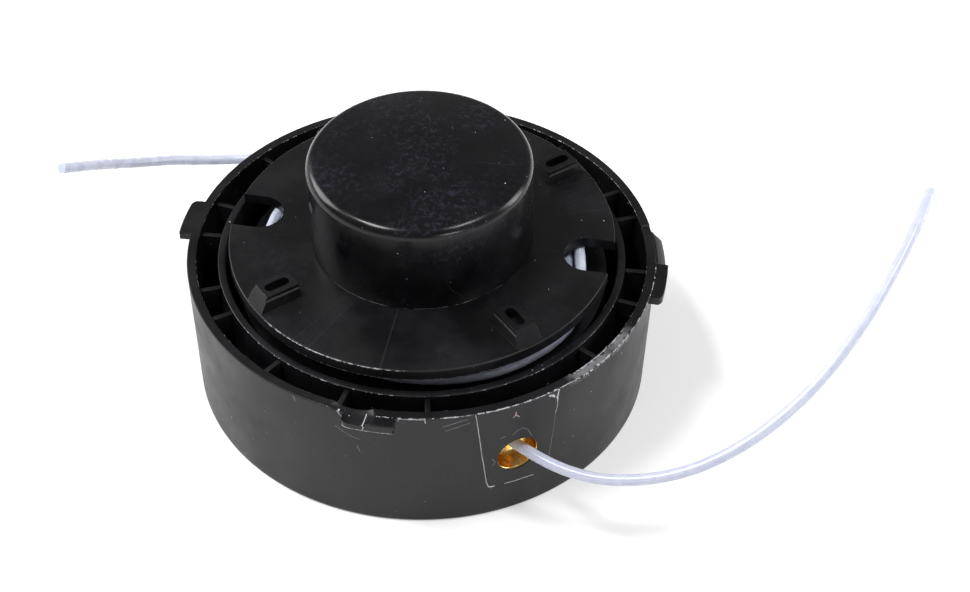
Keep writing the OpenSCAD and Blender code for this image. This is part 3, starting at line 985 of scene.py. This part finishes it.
    def floor_and_hub(self) -> bpy.types.Object:
        """Turns the floor with its hub, and cuts the nut's pocket and the arbor's clearance."""
        hub = Bench.turned("floor_and_hub", [
            (0, 0), (47, 0), (47, self.floor), (10.8, self.floor), (10.24, self.floor + 0.24),
            (10, self.floor + 0.8), (10, 33), (9, 34), (0, 34)], 144, closed=False)
        pocket = Bench.rod("pocket", 6.5 / math.cos(math.radians(30)), -1, 6.5, 6)
        Bench.place(pocket, Matrix.Rotation(math.radians(30), 4, "Z"))
        Bench.combine(hub, pocket, "DIFFERENCE")
        Bench.combine(hub, Bench.rod("clearance", 4.4, 5, 29, 64), "DIFFERENCE")
        return hub

    def eyelet_block(self, turn: float) -> bpy.types.Object:
        """The arched block that carries an eyelet across the gap between the walls."""
        half = self.eyelet_radius + 1.9
        block = Bench.block("block", (42.8, -half, self.floor - 0.1), (48.6, half, self.eyelet_height))
        Bench.place(block, Matrix.Rotation(math.radians(turn), 4, "Z"))
        crown = Bench.rod("crown", half, 42.8, 48.6, 96)
        Bench.place(crown, self.radial(turn))
        Bench.combine(block, crown, "UNION")
        return block

    def rib(self, turn: float) -> bpy.types.Object:
        """One thin rib between the walls, a little below the rim."""
        half = self.rib_thick / 2
        rib = Bench.block("rib", (43, -half, self.floor - 0.1), (48.4, half, self.rib_top))
        Bench.soften(rib, 0.15)
        return Bench.place(rib, Matrix.Rotation(math.radians(turn), 4, "Z"))

    def stop(self, turn: float) -> bpy.types.Object:
        """One ratchet stop on the floor: upright in front, ramped behind."""
        stop = Bench.block("stop", (30, 0, self.floor - 0.1), (36, 7, 6))
        for vertex in stop.data.vertices:
            if vertex.co.z > 5 * MM and vertex.co.y > 5 * MM:
                vertex.co.y = 2.5 * MM
        Bench.soften(stop, 0.25)
        return Bench.place(stop, Matrix.Rotation(math.radians(turn), 4, "Z"))


@dataclass
class Eyelet:
    """A turned brass eyelet pressed into the drum's wall."""

    name: str
    turn: float
    height: float = 16.5
    inner: float = 42.0
    outer: float = 49.35
    barrel: float = 4.9
    mouth: float = 4.3
    cup: float = 4.6
    bore: float = 1.25

    def build(self, finish: Finish) -> None:
        """Turns the eyelet upright, marks its lathe rings and lays it along its radius."""
        length = self.outer - self.inner
        lip = 0.5
        floor = length - self.cup
        profile = [
            (self.bore, 0), (self.barrel, 0), (self.barrel, length - 0.15), (self.barrel - 0.1, length),
            *arc((self.mouth + lip, length - lip), lip, 90, 180, 8)[1:],
            (self.mouth - 0.15, length - 0.9),
            *arc((self.mouth - 1.65, floor + 1.4), 1.5, 0, -80, 8),
            (self.bore + 0.4, floor - 0.25), (self.bore + 0.12, floor - 0.5), (self.bore, floor - 0.9)]
        eyelet = Bench.turned(self.name + "_brass", profile, 128)
        Bench.lathe_marks(eyelet, Vector((0, 0, 0)), Vector((0, 0, 1)))
        lay = (Matrix.Rotation(math.radians(self.turn), 4, "Z")
               @ Matrix.Translation((self.inner * MM, 0, self.height * MM))
               @ Matrix.Rotation(math.pi / 2, 4, "Y"))
        Bench.place(eyelet, lay)
        Bench.smooth(eyelet, 40)
        Bench.hand_over(eyelet, "drum", "eyelet_brass", finish, [self.name])


@dataclass
class SpoolUnit:
    """What turns and slides together: the spool, its knob and the wound line."""

    lean: Matrix
    flange_top: float = 36.0
    knob_radius: float = 23.5
    knob_height: float = 23.0
    knob_wall: float = 2.4
    shoulder: float = 2.2
    dome_slope: float = 11.2

    def build(self, nylon: Finish, knob_nylon: Finish, line: Finish) -> None:
        """Makes the spool, the knob and both windings."""
        spool = Bench.solid("spool", "spool_moulding")
        Bench.soften(spool, 0.24)
        Bench.smooth(spool, 44)
        Bench.flatten_shading(spool)
        Bench.hand_over(spool, "spool", "spool_plastic", nylon, ["spool"])
        self.knob(knob_nylon)
        self.winding("upper_winding", 26.3, line)
        self.winding("lower_winding", 17.6, line)

    def knob(self, finish: Finish) -> None:
        """Turns the knob, its shoulder running smoothly into its dome."""
        inner = self.knob_radius - self.knob_wall
        meet = 90 - self.dome_slope
        edge_r = self.knob_radius - self.shoulder + self.shoulder * math.cos(math.radians(meet))
        bend = math.tan(math.radians(self.dome_slope)) / (2 * edge_r)
        edge_z = self.knob_height - bend * edge_r ** 2
        arc_z = edge_z - self.shoulder * math.sin(math.radians(meet))
        rings = [edge_r * step / 24 for step in range(23, -1, -1)]
        dome = [(r, self.knob_height - bend * r ** 2) for r in rings]
        profile = [
            (inner, 0), (self.knob_radius - 0.22, 0), (self.knob_radius - 0.06, 0.06),
            (self.knob_radius, 0.22),
            (self.knob_radius, 6), (self.knob_radius, 12),
            *arc((self.knob_radius - self.shoulder, arc_z), self.shoulder, 0, meet, 12), *dome,
            (0, self.knob_height - self.knob_wall), (inner - 3, edge_z - self.knob_wall + 0.6),
            (inner, edge_z - self.knob_wall - 2.4)]
        knob = Bench.turned("knob_cap", profile, 360)
        Bench.place(knob, self.lean @ Matrix.Translation((0, 0, self.flange_top * MM)))
        Bench.smooth(knob, 30)
        Bench.hand_over(knob, "spool", "knob_plastic", finish, ["bump_knob"])

    def winding(self, node: str, low: float, finish: Finish) -> None:
        """Winds the last layers of line over a plain pack.

        Args:
            node: the solid that it stands for.
            low: the height of the flange face under it.
            finish: the line's finish.
        """
        rows, radius = 3, 1.17
        pitch = 7.0 / rows
        route = []
        for layer in range(2):
            for row in range(rows):
                row_z = low + 0.12 + pitch * ((row if layer % 2 else rows - 1 - row) + 0.5)
                for k in range(36):
                    a = math.radians(10 * k)
                    next_z = pitch * (1 if layer % 2 else -1) if row < rows - 1 else 0
                    z = row_z + next_z * max(0, k - 30) / 6
                    loose = between(10 * k, ((245, 0), (285, 2.6), (325, 4.2), (356, 0)))
                    r = 31.05 + 2.35 * layer + loose * (0.45 + 0.55 * layer)
                    r += 0.12 * noise.noise(Vector((math.cos(a) * 2, math.sin(a) * 2, row)))
                    route.append((r * math.cos(a), r * math.sin(a), z))
        strands = Bench.strand(node + "_strands", route, radius, sides=12, smooth=2)
        pack = Bench.turned(node + "_pack", [
            (22.05, low + 0.1), (30.6, low + 0.1), (30.6, low + 7.1), (22.05, low + 7.1)], 96)
        whole = Bench.joined(node + "_line", [strands, pack])
        Bench.place(whole, self.lean)
        Bench.smooth(whole, 50)
        Bench.hand_over(whole, "spool", "nylon_line", finish, [node])


@dataclass
class Hardware:
    """The hidden steel: arbor nut, return spring and thrust washer."""

    lean: Matrix
    spring_low: float = 2.5
    spring_top: float = 22.35
    spring_radius: float = 13.0
    wire: float = 1.5
    coils: float = 6.5

    def build(self, zinc: Finish, wire_steel: Finish) -> None:
        """Makes the three steel pieces."""
        self.nut(zinc)
        self.washer(zinc)
        self.spring(wire_steel)

    def nut(self, finish: Finish) -> None:
        """Shapes the hexagon, rounds its edges, bores it and lays a helical bead for the thread along the
        bore.
        """
        nut = Bench.rod("nut_blank", 6.5 / math.cos(math.radians(30)), 0, 6.5, 6)
        Bench.place(nut, Matrix.Rotation(math.radians(30), 4, "Z"))
        Bench.soften(nut, 0.25)
        Bench.combine(nut, Bench.rod("bore", 4.0, -1, 8, 96), "DIFFERENCE")
        pitch, steps = 1.25, 24
        helix = [(3.98 * math.cos(math.tau * i / steps), 3.98 * math.sin(math.tau * i / steps),
                  0.5 + pitch * i / steps) for i in range(int(4.4 * steps) + 1)]
        nut = Bench.joined("arbor_nut_steel", [nut, Bench.strand("thread", helix, 0.5, sides=8, smooth=1)])
        Bench.lathe_marks(nut, Vector((0, 0, 0)), Vector((0, 0, 1)))
        Bench.smooth(nut, 30)
        Bench.hand_over(nut, "drum", "zinc_steel", finish, ["arbor_nut"])

    def washer(self, finish: Finish) -> None:
        """Turns the washer with slightly rolled stamping edges."""
        low, high, inner, outer = 22.75, 23.95, 10.8, 15.4
        edge = 0.2
        washer = Bench.turned("thrust_washer_steel", [
            *arc((inner + edge, low + edge), edge, 180, 270, 3),
            *arc((outer - edge, low + edge), edge, 270, 360, 3),
            *arc((outer - edge, high - edge), edge, 0, 90, 3),
            *arc((inner + edge, high - edge), edge, 90, 180, 3)],
            128)
        Bench.lathe_marks(washer, Vector((0, 0, 0)), Vector((0, 0, 1)))
        Bench.place(washer, self.lean)
        Bench.smooth(washer, 40)
        Bench.hand_over(washer, "washer", "zinc_steel", finish, ["thrust_washer"])

    def spring(self, finish: Finish) -> None:
        """Coils the spring, its end coils closed."""
        steps = 24
        total = int(self.coils * steps)
        rise = self.spring_top - self.spring_low - self.wire
        end_share = self.wire / rise
        route = []
        for i in range(total + 1):
            share = between(i, ((0, 0), (steps, end_share), (total - steps, 1 - end_share), (total, 1)))
            a = math.tau * i / steps
            route.append((self.spring_radius * math.cos(a), self.spring_radius * math.sin(a),
                          self.spring_low + self.wire / 2 + rise * share))
        spring = Bench.strand("return_spring_wire", route, self.wire / 2 - 0.01, sides=12, smooth=2)
        Bench.lathe_marks(spring, Vector((0, 0, 0)), Vector((0, 0, 1)))
        Bench.smooth(spring, 50)
        Bench.hand_over(spring, "drum", "spring_steel", finish, ["return_spring"])
        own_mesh(spring)


WALL_MARKS = (
    Mark(Tone.CHALK, 0.11, ((-75.7, 31.3), (-74.8, 25), (-74.0, 18.9), (-72.9, 11.5), (-72.5, 9.5),
                            (-71.5, 7.9)), 0.47),
    Mark(Tone.CHALK, 0.2, ((-72.2, 8.6), (-71.2, 8.4), (-70.7, 8.5)), 0.3),
    Mark(Tone.CHALK, 0.16, ((-68.0, 8.4), (-65.4, 8.3), (-63.0, 8.3), (-60.6, 8.1)), 0.5),
    Mark(Tone.GAP, 0.2, ((-71.8, 8.1), (-68.6, 8.0), (-66.0, 8.1)), 0.3),
    Mark(Tone.CHALK, 0.34, ((-54.9, 31.1), (-55.2, 29.3), (-55.1, 27.3)), 0.42),
    Mark(Tone.CHALK, 0.34, ((-57.3, 30.6), (-56.4, 30.2), (-55.5, 29.2)), 0.42),
    Mark(Tone.GAP, 0.3, ((-55.2, 31.2), (-55.6, 29.2), (-55.2, 27.2), (-55.4, 25.8)), 0.2),
    Mark(Tone.GAP, 0.3, ((-57.0, 29.6), (-55.6, 29.1)), 0.2),
    Mark(Tone.STRESS, 0.13, ((-54.9, 27.0), (-55.3, 24.6)), 0.25),
    Mark(Tone.GREY, 0.12, ((-55.3, 24.6), (-55.5, 20.9), (-55.8, 17.4), (-56.3, 12)), 0.52),
    Mark(Tone.STRESS, 0.14, ((-66.6, 28.0), (-66.05, 28.6), (-66.0, 29.4)), 0.25),
    Mark(Tone.STRESS, 0.14, ((-66.05, 28.6), (-65.2, 27.8)), 0.25),
    Mark(Tone.GREY, 0.1, ((-66.6, 22.6), (-65.4, 23.8), (-64.2, 23.9)), 0.45),
    Mark(Tone.GREY, 0.1, ((-64.2, 24.2), (-62.6, 22.9), (-61.6, 20.6)), 0.42),
    Mark(Tone.GREY, 0.14, ((-71.4, 16.9), (-70.7, 15.9), (-71.2, 15.0)), 0.45),
    Mark(Tone.GREY, 0.12, ((-69.6, 22.7), (-68.4, 23.0)), 0.45),
    Mark(Tone.GREY, 0.1, ((-108.2, 26.4), (-105.2, 24.6), (-102.3, 23.8)), 0.45),
    Mark(Tone.GREY, 0.13, ((-103.0, 21.7), (-102.5, 20.2)), 0.35),
    Mark(Tone.CHALK, 0.12, ((-93.4, 30.6), (-93.2, 31.25), (-90.2, 31.25), (-87.3, 31.2),
                            (-87.1, 30.2)), 0.46),
    Mark(Tone.CHALK, 0.1, ((-108.0, 31.2), (-107.2, 30.6), (-106.9, 29.9), (-106.4, 29.6)), 0.36),
    Mark(Tone.CHALK, 0.13, ((-105.8, 29.6), (-102.0, 29.55), (-98.0, 29.55), (-94.2, 29.55)), 0.46),
    Mark(Tone.CHALK, 0.13, ((-100.9, 31.3), (-100.5, 30.4), (-100.8, 29.8)), 0.42),
    Mark(Tone.GREY, 0.16, ((-118.6, 31.0), (-118.2, 29.7)), 0.4),
    Mark(Tone.GREY, 0.14, ((-83.2, 28.9), (-79.8, 29.9), (-77.6, 30.4)), 0.45),
    Mark(Tone.GREY, 0.12, ((-82.6, 27.6), (-79.4, 28.6), (-77.0, 29.3)), 0.45),
    Mark(Tone.GREY, 0.1, ((-66.3, 16.0), (-66.9, 14.2)), 0.4),
)

DRUM_EDGES = (
    EdgeWearAndHighlight(50.0, 31.45, 0.3, -112, -76, 0.52),
    EdgeWearAndHighlight(50.0, 31.45, 0.36, -78, -49, 0.5),
    EdgeWearAndHighlight(50.0, 31.3, 0.5, -51.5, -27.6, 0.46),
    EdgeWearAndHighlight(48.1, 31.2, 0.45, -51.0, -27.8, 0.46),
    EdgeWearAndHighlight(49.1, 31.1, 1.5, -52.0, -35.6, 0.42, 0.3),
    EdgeWearAndHighlight(49.1, 31.1, 1.5, -38.0, -27.0, 0.42, 0.3),
    EdgeWearAndHighlight(50.0, 31.45, 0.26, -30, 40, 0.54),
    EdgeWearAndHighlight(48.0, 31.45, 0.24, -178, 178, 0.6),
    EdgeWearAndHighlight(43.5, 30.95, 0.22, -150, -20, 0.58),
    EdgeWearAndHighlight(41.9, 30.95, 0.22, -120, -20, 0.57),
)
# Painted highlights: pale lines along the knob's rounded base edge and the front of its shoulder.
KNOB_EDGE_HIGHLIGHTS = (
    EdgeWearAndHighlight(23.5, 36.12, 0.16, -142, -104, 0.4, 0.9),
    EdgeWearAndHighlight(23.5, 36.12, 0.14, -100, -40, 0.5, 0.8),
    EdgeWearAndHighlight(23.0, 56.8, 0.3, -140, -50, 0.6, 0.5),
)
# Painted highlights: pale lines along the flange's rounded top and bottom edges, where light catches them.
FLANGE_EDGE_HIGHLIGHTS = (
    EdgeWearAndHighlight(41.0, 35.9, 0.2, -140, -92, 0.36, 0.75),
    EdgeWearAndHighlight(41.0, 35.95, 0.2, -96, -30, 0.52, 0.6),
    EdgeWearAndHighlight(41.0, 33.55, 0.2, -130, -60, 0.56, 0.6),
)


def main() -> None:
    """Builds the studio, the cords and every piece, and reports each."""
    Camera().build()
    Studio().build()
    line = NylonLine("monofilament_nylon")
    Tails().build(line)
    lean = Lean().matrix()
    drum_nylon = BlackNylon("drum_glass_filled_nylon", marks=WALL_MARKS, edges=DRUM_EDGES)
    spool_nylon = BlackNylon("spool_moulded_nylon", gloss=0.3, lean=lean, wall_radius=41.0,
                             edges=FLANGE_EDGE_HIGHLIGHTS)
    knob_nylon = BlackNylon("knob_polished_nylon", base="#070709", film="#0d0d0f", scuffing=0.32,
                            gloss=0.17, haze=0.14, grain_depth=0.001, lean=lean, wall_radius=23.5,
                            edges=KNOB_EDGE_HIGHLIGHTS)
    brass = TurnedMetal("eyelet_turned_brass")
    zinc = TurnedMetal("zinc_plated_steel", colour="#b7b9bb", dark="#6a6862", rough=0.32)
    wire_steel = TurnedMetal("drawn_spring_wire", colour="#8b8c8e", dark="#3f3a35", rough=0.34,
                             ring_depth=0.0)
    Drum().build(drum_nylon)
    for name, turn in (("front_eyelet", 295.0), ("rear_eyelet", 115.0)):
        Eyelet(name, turn).build(brass)
    SpoolUnit(lean).build(spool_nylon, knob_nylon, line)
    Hardware(lean).build(zinc, wire_steel)


if __name__ == "__main__":
    main()
